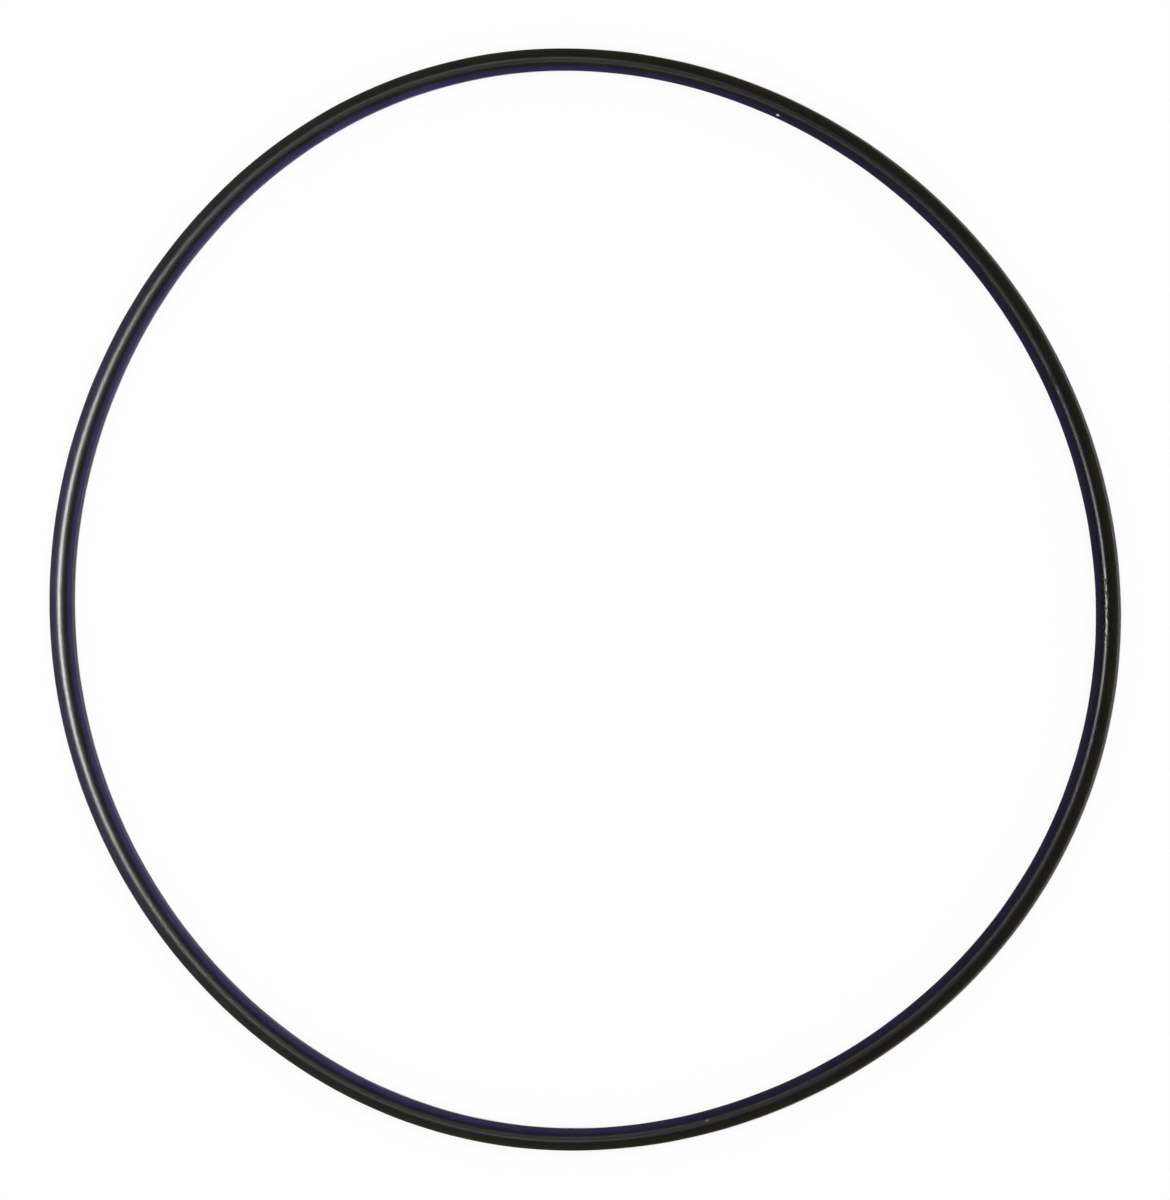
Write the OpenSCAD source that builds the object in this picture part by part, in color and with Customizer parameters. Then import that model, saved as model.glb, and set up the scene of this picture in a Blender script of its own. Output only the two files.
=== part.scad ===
// Rubber o-ring, moulded in one piece. It lies flat and, as a limp ring does, a little out of round.
// The origin is the ring's centroid, half-way up its thickness, and +Z points up out of the ring's plane.

/* [Ring] */
// Inside diameter of the ring, as moulded
inside_d = 126.67; // [60:0.01:300]

/* [Section] */
// Diameter of the round section
section_d = 2.62; // [1.5:0.01:6]
// Width of the witness line that the mould's parting plane leaves inside and outside
witness_w = 0.16; // [0.06:0.01:0.3]
// Height that the witness line stands above the round section
witness_h = 0.05; // [0.02:0.01:0.12]

/* [Lie] */
// Oval lie: how far the midline is pushed out at each end of the oval
oval_h = 1.1; // [0:0.05:2]
// Oval lie: direction of one end, in degrees from +X
oval_dir = 100; // [0:1:179]
// Three-lobed lie: how far the midline is pushed out at each lobe
three_h = 0.46; // [0:0.02:1]
// Three-lobed lie: direction of one lobe
three_dir = 110; // [0:1:119]
// Four-lobed lie: how far the midline is pushed out at each lobe
four_h = 0.12; // [0:0.02:0.3]
// Four-lobed lie: direction of one lobe
four_dir = 85; // [0:1:89]
// Five-lobed lie: how far the midline is pushed out at each lobe
five_h = 0.1; // [0:0.02:0.2]
// Five-lobed lie: direction of one lobe
five_dir = 42; // [0:1:71]

/* [Hidden] */

// Radius of the midline when nothing bends the ring
mean_r = (inside_d + section_d) / 2;

// Each part of the lie: its number of lobes, how far they are pushed out, and the direction of one
lie = [
    [2, oval_h, oval_dir],
    [3, three_h, three_dir],
    [4, four_h, four_dir],
    [5, five_h, five_dir]
];

// The midline is a closed chain of equal turns, each an arc that is tangent to the next
arcs = 24;
turn = 360 / arcs;
// Angle by which each arc runs on into the next, so that the chain is one solid
lap = 0.01;

// Segments in a full turn of the section and of the ring
section_fn = 48;
ring_fn = 360;

// Positions are laid down in thousandths of a millimetre first and the remainder after
grid = 0.001;

function sum(v, i = 0) = i < len(v) - 1 ? v[i] + sum(v, i + 1) : v[i];
function way(a) = [cos(a), sin(a)];

// Radius that the midline is bent to where it faces the direction a: lobes pushed out by h with n
// lobes around bend a ring of radius r to r + (1 - n * n) * h at their tips, and further open between them
function bend_r(a) = mean_r + sum([for (w = lie) (1 - w[0] * w[0]) * w[1] * cos(w[0] * (a - w[2]))]);

// Each arc's own radius, and its centre, stepped along the line where it meets the arc before it
radii = [for (i = [0 : arcs - 1]) bend_r((i + 0.5) * turn)];
function step(i) = i == 0 ? [0, 0] : step(i - 1) + (radii[i - 1] - radii[i]) * way(i * turn);
centres = [for (i = [0 : arcs - 1]) step(i)];

// Centroid of the midline, from the middle and the length of each arc
middles = [for (i = [0 : arcs - 1]) centres[i] + radii[i] * way((i + 0.5) * turn)];
centroid = sum([for (i = [0 : arcs - 1]) radii[i] * middles[i]]) / sum(radii);

// Moves its child in two steps, a round one and the small remainder, so that arcs meet exactly
module place(v) {
    coarse = [for (c = v) round(c / grid) * grid];
    translate(coarse)
        translate(v - coarse)
            children();
}

// Round section with the raised witness line across it, at the inner and the outer equator
module section() {
    circle(d = section_d, $fn = section_fn);
    square([section_d + 2 * witness_h, witness_w], center = true);
}

// The moulded ring: the section swept along the chain of arcs
module o_ring()
    color([0.11, 0.11, 0.12])
        for (i = [0 : arcs - 1])
            place(centres[i] - centroid)
                rotate_extrude(start = i * turn, angle = turn + lap, $fn = ring_fn)
                    place([radii[i], 0])
                        section();

o_ring();
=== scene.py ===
from math import atan2, cos, hypot, pi, radians, sin, tan

import bmesh
import bpy
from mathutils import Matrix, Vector, noise


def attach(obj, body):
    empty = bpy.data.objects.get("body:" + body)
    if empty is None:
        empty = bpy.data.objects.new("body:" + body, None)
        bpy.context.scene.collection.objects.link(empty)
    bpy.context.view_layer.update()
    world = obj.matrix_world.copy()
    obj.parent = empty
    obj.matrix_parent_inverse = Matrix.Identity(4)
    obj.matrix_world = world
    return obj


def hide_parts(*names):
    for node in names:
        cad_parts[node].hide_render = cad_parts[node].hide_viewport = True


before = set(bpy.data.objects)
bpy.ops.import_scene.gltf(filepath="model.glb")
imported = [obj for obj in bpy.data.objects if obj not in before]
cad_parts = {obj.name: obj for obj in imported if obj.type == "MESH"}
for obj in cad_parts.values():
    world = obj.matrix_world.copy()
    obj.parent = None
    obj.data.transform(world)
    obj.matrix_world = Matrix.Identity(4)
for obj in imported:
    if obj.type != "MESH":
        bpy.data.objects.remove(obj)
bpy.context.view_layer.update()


# The ring: one moulding of solid black nitrile rubber, of round section. It is limp, so it lies a
# little out of round. The mould's parting plane leaves a fine raised witness line inside and outside,
# trimmed by tumbling, so that its height wanders.
section_r = 0.00131
mean_r = 0.064645
witness_w = 0.00016
witness_h = 0.00005
witness_bevel = 0.00002

# How far the witness line's height wanders, as a share of it, and the length of that wave
witness_wander = 0.4
witness_wave = 0.004

# The lie: lobes around, how far each is pushed out, and the direction of one in degrees
lobes = [
    (2, 0.0011, 100),
    (3, 0.00046, 110),
    (4, 0.00012, 85),
    (5, 0.0001, 42),
]
arcs = 24
turn = 2 * pi / arcs

# Steps of the mesh along an arc, round the section and over a bevel, and points closer than weld are one
steps_per_arc = 30
section_steps = 64
bevel_steps = 2
weld = 0.000001


def bend_radius(angle):
    """Radius that the midline is bent to where it faces this way."""
    return mean_r + sum((1 - n * n) * h * cos(n * (angle - radians(way))) for n, h, way in lobes)


def along(angle, length):
    """A step of this length in the ring's plane."""
    return Vector((length * cos(angle), length * sin(angle), 0))


# The midline is a closed chain of arcs, each tangent to the next, with its centroid at the origin
radii = [bend_radius((i + 0.5) * turn) for i in range(arcs)]
centres = [Vector((0, 0, 0))]
for i in range(1, arcs):
    centres.append(centres[-1] + along(i * turn, radii[i - 1] - radii[i]))
middles = [centres[i] + along((i + 0.5) * turn, radii[i]) for i in range(arcs)]
centroid = sum((r * m for r, m in zip(radii, middles)), Vector((0, 0, 0))) / sum(radii)
centres = [c - centroid for c in centres]

# The round section is spun along each arc, and the stretches are joined and welded to one tube
stretches = []
for i, centre in enumerate(centres):
    bpy.ops.object.select_all(action="DESELECT")
    bpy.ops.mesh.primitive_circle_add(
        vertices=section_steps,
        radius=section_r,
        location=centre + along(i * turn, radii[i]),
        rotation=(pi / 2, 0, i * turn),
    )
    bpy.ops.object.transform_apply(location=True, rotation=True, scale=True)
    bpy.ops.object.mode_set(mode="EDIT")
    bpy.ops.mesh.spin(steps=steps_per_arc, angle=-turn, center=centre, axis=(0, 0, 1))
    bpy.ops.object.mode_set(mode="OBJECT")
    stretches.append(bpy.context.object)

for stretch in stretches:
    stretch.select_set(True)
bpy.ops.object.join()
ring = bpy.context.object
ring.name = ring.data.name = "o_ring_moulding"
bpy.ops.object.mode_set(mode="EDIT")
bpy.ops.mesh.select_all(action="SELECT")
bpy.ops.mesh.remove_doubles(threshold=weld)
bpy.ops.mesh.normals_make_consistent(inside=False)

# The witness line: a band cut round both equators, drawn out of the surface and softened
for side in (-1, 1):
    bpy.ops.mesh.select_all(action="SELECT")
    bpy.ops.mesh.bisect(plane_co=(0, 0, side * witness_w / 2), plane_no=(0, 0, 1))
bpy.ops.mesh.select_mode(type="FACE")
bpy.ops.mesh.select_all(action="DESELECT")
cut = bmesh.from_edit_mesh(ring.data)
for face in cut.faces:
    face.select_set(abs(face.calc_center_median().z) < witness_w / 2)
bmesh.update_edit_mesh(ring.data)
bpy.ops.mesh.extrude_region_shrink_fatten(TRANSFORM_OT_shrink_fatten={"value": witness_h})
bpy.ops.mesh.region_to_loop()
bpy.ops.mesh.bevel(offset=witness_bevel, segments=bevel_steps, affect="EDGES")
bpy.ops.object.mode_set(mode="OBJECT")


def outward(point):
    """How far a point of the ring lies outside the midline, seen from above."""
    i = int(atan2(point.y, point.x) % (2 * pi) // turn)
    return hypot(point.x - centres[i].x, point.y - centres[i].y) - radii[i]


# What stands past the round section is the witness line. Each point keeps its distance from the
# midline in an attribute, which the rubber's colours follow.
out = ring.data.attributes.new("out", "FLOAT", "POINT")
for vertex in ring.data.vertices:
    past = outward(vertex.co)
    if abs(past) > section_r:
        wander = witness_wander * noise.noise(vertex.co / witness_wave)
        sign = 1 if past > 0 else -1
        vertex.co += along(atan2(vertex.co.y, vertex.co.x), sign * (abs(past) - section_r) * wander)
        past = outward(vertex.co)
    out.data[vertex.index].value = past
bpy.ops.object.shade_smooth()


class Wire:
    """A socket of a material. Sums of wires and plain numbers become Math nodes."""

    def __init__(self, tree, socket=None):
        self.tree = tree
        self.socket = socket

    def node(self, kind, settings, values, output=0):
        """Adds a node with these settings, fills its sockets, and returns one of its outputs."""
        node = self.tree.nodes.new(kind)
        for name, value in settings.items():
            setattr(node, name, value)
        for name, value in values.items():
            if isinstance(value, Wire):
                self.tree.links.new(value.socket, node.inputs[name])
            else:
                node.inputs[name].default_value = value
        return Wire(self.tree, node.outputs[output])

    def maths(self, operation, *values):
        return self.node("ShaderNodeMath", {"operation": operation}, dict(enumerate(values)))

    def vector(self, operation, *values, output=0):
        return self.node("ShaderNodeVectorMath", {"operation": operation}, dict(enumerate(values)), output)

    def __add__(self, other):
        return self.maths("ADD", self, other)

    __radd__ = __add__

    def __sub__(self, other):
        return self.maths("SUBTRACT", self, other)

    def __rsub__(self, other):
        return self.maths("SUBTRACT", other, self)

    def __mul__(self, other):
        return self.maths("MULTIPLY", self, other)

    __rmul__ = __mul__

    def __truediv__(self, other):
        return self.maths("DIVIDE", self, other)

    def __abs__(self):
        return self.maths("ABSOLUTE", self)

    def between(self, start, end):
        """0 before the start and 1 past the end, with a soft step between. The end may be the lower one."""
        values = {"Value": self, "From Min": start, "From Max": end}
        return self.node("ShaderNodeMapRange", {"interpolation_type": "SMOOTHSTEP"}, values)

    def mix(self, first, second):
        """The first colour where this is 0 and the second where it is 1."""
        share_in, first_in, second_in, colour_out = 0, 6, 7, 2
        values = {share_in: self, first_in: first, second_in: second}
        return self.node("ShaderNodeMix", {"data_type": "RGBA"}, values, colour_out)


rubber = bpy.data.materials.new("moulded_rubber")
rubber.use_nodes = True
surface = rubber.node_tree.nodes["Principled BSDF"]
surface.inputs["Specular IOR Level"].default_value = 0.25

nodes = Wire(rubber.node_tree)
place = nodes.node("ShaderNodeTexCoord", {}, {}, "Object")
x, y, z = (nodes.node("ShaderNodeSeparateXYZ", {}, {"Vector": place}, axis) for axis in "XYZ")
outside = nodes.node("ShaderNodeAttribute", {"attribute_name": "out"}, {}, "Fac")

# Half the ring's width, and how soft the line is where the right half's finish starts
span = 0.0655
half_edge = 0.01
left = x.between(0, -span)
right = x.between(0, span)


def mottle(size, detail, roughness=0.5):
    """Noise in spots of about this size."""
    values = {"Vector": place, "Scale": 1 / size, "Detail": detail, "Roughness": roughness}
    return nodes.node("ShaderNodeTexNoise", {"noise_dimensions": "3D"}, values)


# Fine grain of the mould, the frost on its left side, and broad patches of darker and paler rubber
noise_mean = 0.5
grain = mottle(0.00013, detail=1.0, roughness=0.6)
frost = mottle(0.00034, detail=1.0)
cloud = mottle(0.004, detail=2.0)

# Streaks run along the ring, as the mould was polished
streak_length = 0.0011
streak_width = 0.00022
around = nodes.vector("NORMALIZE", nodes.vector("MULTIPLY", place, (1, 1, 0)))
around = nodes.vector("MULTIPLY", around, (mean_r / streak_length, mean_r / streak_length, 0))
across = nodes.node("ShaderNodeCombineXYZ", {}, {"Z": outside / streak_width})
drawn_out = nodes.vector("ADD", around, across)


def streaks(fineness, detail):
    """Noise drawn out along the ring; twice the fineness gives streaks of half the size."""
    values = {"Vector": drawn_out, "W": z / streak_width, "Scale": fineness, "Detail": detail}
    return nodes.node("ShaderNodeTexNoise", {"noise_dimensions": "4D"}, values)


streak = streaks(1.0, detail=2.0)
speck = streaks(2.1, detail=0.0)

# Marks: how deep they reach, how ragged the grain makes them, and where their edge starts and ends
mark_depth = 0.0004
ragged = 0.8
mark_edge = (0.75, 1.05)


def spot(at, length, width):
    """A small mark on top of the ring at this place, long along the ring; 1 inside it."""
    point = Vector((*at, 0))
    point.z = (section_r ** 2 - outward(point) ** 2) ** 0.5
    way = atan2(point.y, point.x) + pi / 2
    half_size = (length / 2, width / 2, mark_depth)
    values = {"Vector": place, "Location": point, "Rotation": (0, 0, way), "Scale": half_size}
    moved = nodes.node("ShaderNodeMapping", {"vector_type": "TEXTURE"}, values)
    far = nodes.vector("LENGTH", moved, output="Value")
    return 1 - (far + ragged * (grain - noise_mean)).between(*mark_edge)


# The rubber is near black on top. The inner flank is painted lighter and bluish violet, heavy at the left
# and thin at the right: painted reflection of the pale floor and painted light from the left, with some
# real bloom. The outer flank is a trace brown at the right, copying the tint of the shadow beside it, and
# painted lighter navy at the far left alone, as painted reflection.
top_right, top_left = (0.0060, 0.0056, 0.0054, 1), (0.0095, 0.0092, 0.0082, 1)
inner_right, inner_left = (0.0125, 0.0095, 0.0330, 1), (0.0680, 0.0500, 0.2000, 1)
outer_right, outer_left = (0.0140, 0.0105, 0.0040, 1), (0.0230, 0.0210, 0.0190, 1)
outer_far_left = (0.0290, 0.0260, 0.0600, 1)
# Share of the left's colours: 0 at the right, full past the left end. Top and flanks grow lighter with it,
# partly a real bloom, partly painted light and painted reflection from the left.
bloom_and_painted_light = x.between(0.6 * span, -1.5 * span)
inner = bloom_and_painted_light.mix(inner_right, inner_left)
outer = bloom_and_painted_light.mix(outer_right, outer_left)
outer = x.between(-0.65 * span, -span).mix(outer, outer_far_left)

# How far from the midline the flanks' colours start and are full. Where the bloom and painted light lie,
# the top stays wider.
flank_start = 0.25 * section_r
flank_full = 0.8 * section_r
inner_shift = 0.22 * section_r
shade = bloom_and_painted_light.mix(top_right, top_left)
shade = (outside + inner_shift * bloom_and_painted_light).between(-flank_start, -flank_full).mix(shade, inner)
shade = outside.between(flank_start, flank_full).mix(shade, outer)

# The patches run from a darkest share of the colour, over a range above it
darkest = 0.6
patch_range = 0.8
patches = darkest + patch_range * cloud
shade = nodes.node("ShaderNodeVectorMath", {"operation": "SCALE"}, {"Vector": shade, "Scale": patches})

# The witness line is trimmed, and so a little greyer than the moulded surface
trim_grey = (0.016, 0.016, 0.017, 1)
trim_cover = 0.6
trimmed = 1 - abs(z).between(0.45 * witness_w, 0.7 * witness_w)
shade = (trim_cover * trimmed).mix(shade, trim_grey)

# Marks of use, by place, length and width in metres, and one painted highlight, the glint. The scratch and
# the tan fleck let the rubber show.
white_fleck = spot((0.02393, 0.05916), 0.00050, 0.00026)
tan_fleck = 0.7 * spot((0.01532, -0.06326), 0.0006, 0.0003)
# Painted highlight: the glint is a short bright bit of the sheen line, drawn in pale lilac colour, not a
# mark.
painted_glint = spot((0.05806, 0.02549), 0.0005, 0.0002)
scratch = 0.8 * spot((-0.05004, -0.03850), 0.0014, 0.0002)
blotch = spot((0.05740, 0.02680), 0.0017, 0.0009)
shade = white_fleck.mix(shade, (0.500, 0.460, 0.540, 1))
shade = tan_fleck.mix(shade, (0.110, 0.120, 0.080, 1))
shade = painted_glint.mix(shade, (0.085, 0.078, 0.130, 1))
shade = scratch.mix(shade, (0.080, 0.070, 0.120, 1))


def right_side(near_start, near_full, far_full, far_end):
    """1 on the ring's right half between two places of y, fading out beyond them."""
    return y.between(near_start, near_full) * (1 - y.between(far_full, far_end)) * x.between(0, half_edge)


# Polished stretch on the right: broken bright dashes at its middle, a thin clean line beyond them
polish = right_side(-0.0056, -0.0048, 0.0035, 0.0042)
shine = right_side(-0.0340, -0.0080, 0.0080, 0.0360)
dashes = speck.between(0.42, 0.50)
calm = 1 - 0.6 * shine

# Matt or glossy: a satin ground, and what each finish adds to its roughness where it lies
satin = 0.34
finishes = [
    (left, 0.03),
    (shine, -0.10),
    (polish, 0.16),
    (polish * dashes, -0.26),
    (calm * (streak - noise_mean), 0.04),
    (calm * (speck - noise_mean), 0.06),
    (left * (frost - noise_mean), 0.12),
    (blotch, 0.25),
    (trimmed, 0.15),
]
roughness = satin + sum(finish * change for finish, change in finishes)

# Relief: the height of the grain, and the other finishes as shares of it
grain_height = 0.0000022
right_smoother = 0.5
streak_relief = 0.05
frost_relief = 0.25
relief = calm * (grain * (1 - right_smoother * right) + streak_relief * streak)
relief = relief + frost_relief * frost * left
bump = nodes.node("ShaderNodeBump", {}, {"Height": relief, "Strength": 1.0, "Distance": grain_height})

for name, wire in (("Base Color", shade), ("Roughness", roughness), ("Normal", bump)):
    rubber.node_tree.links.new(wire.socket, surface.inputs[name])
ring.data.materials.append(rubber)
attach(ring, "root")
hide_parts("o_ring")


# The floor: a pale matt board under the ring. Far off its rim turns up, so that low views stay pale.
# It is kept out of the rubber's gloss, where it would make the dark flanks twice as bright.
floor_r = 4.8
floor_sides = 96
rim_height = 0.8
floor_colour = (0.97, 0.97, 0.97, 1)
bpy.ops.object.select_all(action="DESELECT")
bpy.ops.mesh.primitive_circle_add(
    vertices=floor_sides,
    radius=floor_r,
    fill_type="NGON",
    location=(0, 0, -section_r),
)
floor = bpy.context.object
floor.name = floor.data.name = "floor"
bpy.ops.object.mode_set(mode="EDIT")
bpy.ops.mesh.select_mode(type="EDGE")
bpy.ops.mesh.select_all(action="SELECT")
bpy.ops.mesh.region_to_loop()
bpy.ops.mesh.extrude_edges_move(TRANSFORM_OT_translate={"value": (0, 0, rim_height)})
bpy.ops.object.mode_set(mode="OBJECT")
board = bpy.data.materials.new("pale_board")
board.use_nodes = True
board_surface = board.node_tree.nodes["Principled BSDF"]
board_surface.inputs["Base Color"].default_value = floor_colour
board_surface.inputs["Roughness"].default_value = 1.0
board_surface.inputs["Specular IOR Level"].default_value = 0.0
floor.data.materials.append(board)
floor.visible_glossy = False


# The light: a pale room, and a soft sun from the left that throws the ring's shadow to the right.
# Together they light the floor and the ring at a plain level. The sun is kept out of the gloss too.
sky_level = 0.13
key_level = 0.90
key_tilt = radians(15.5)
key_softness = radians(4)
world = bpy.data.worlds.new("room")
bpy.context.scene.world = world
world.use_nodes = True
world.node_tree.nodes["Background"].inputs["Color"].default_value = (1, 1, 1, 1)
world.node_tree.nodes["Background"].inputs["Strength"].default_value = sky_level

bpy.ops.object.light_add(type="SUN", rotation=(0, -key_tilt, 0))
key = bpy.context.object
key.name = "key"
key.data.energy = key_level * pi / cos(key_tilt)
key.data.angle = key_softness
key.visible_glossy = False


def softbox(name, aim, tilt, way, distance, size, level, spread):
    """A lamp that shows only as a reflection, aimed at a point of the ring's plane.

    It stands this far off, tilted from straight above towards way, in degrees. Its size is given along
    the ring and across it, and its level stays what it is when its size or spread changes.
    """
    tilt, way, spread = radians(tilt), radians(way), radians(spread)
    back = Vector((sin(tilt) * cos(way), sin(tilt) * sin(way), cos(tilt)))
    bpy.ops.object.light_add(type="AREA", location=Vector((*aim, 0)) + back * distance)
    lamp = bpy.context.object
    lamp.name = name
    lamp.rotation_euler = back.to_track_quat("Z", "Y").to_euler()
    lamp.data.shape = "RECTANGLE"
    lamp.data.size, lamp.data.size_y = size
    lamp.data.spread = spread
    lamp.data.energy = level * pi * size[0] * size[1] * (1 - spread / 2 / tan(spread / 2))
    lamp.visible_diffuse = False
    lamp.visible_camera = False


# A bright band at the left, a thin one at the right, and a dim one at the far and at the near side
band_x = 0.0646
softbox("left_lamp", (-band_x, 0), 15.5, 181, distance=0.14, size=(0.076, 0.046), level=115, spread=60)
softbox("right_lamp", (band_x, 0), -5.5, 0, distance=0.13, size=(0.020, 0.044), level=32, spread=60)
for name, side in (("far_lamp", 1), ("near_lamp", -1)):
    aim = (-0.01, side * 0.066)
    softbox(name, aim, 17, side * 106, distance=1.0, size=(0.45, 0.32), level=24, spread=16)


# The camera looks straight down from far above. Its frame is taller than wide, so the sensor's width
# is laid along the frame's height.
camera_height = 3.0
camera_over = (0.000463, 0.000122)
frame_height = 0.14616
sensor = 36
farthest = 20
bpy.ops.object.camera_add(location=(*camera_over, camera_height), rotation=(0, 0, 0))
camera = bpy.context.object
camera.data.sensor_width = sensor
camera.data.lens = sensor * camera_height / frame_height
camera.data.clip_end = farthest
bpy.context.scene.camera = camera
bpy.context.scene.view_settings.view_transform = "Standard"
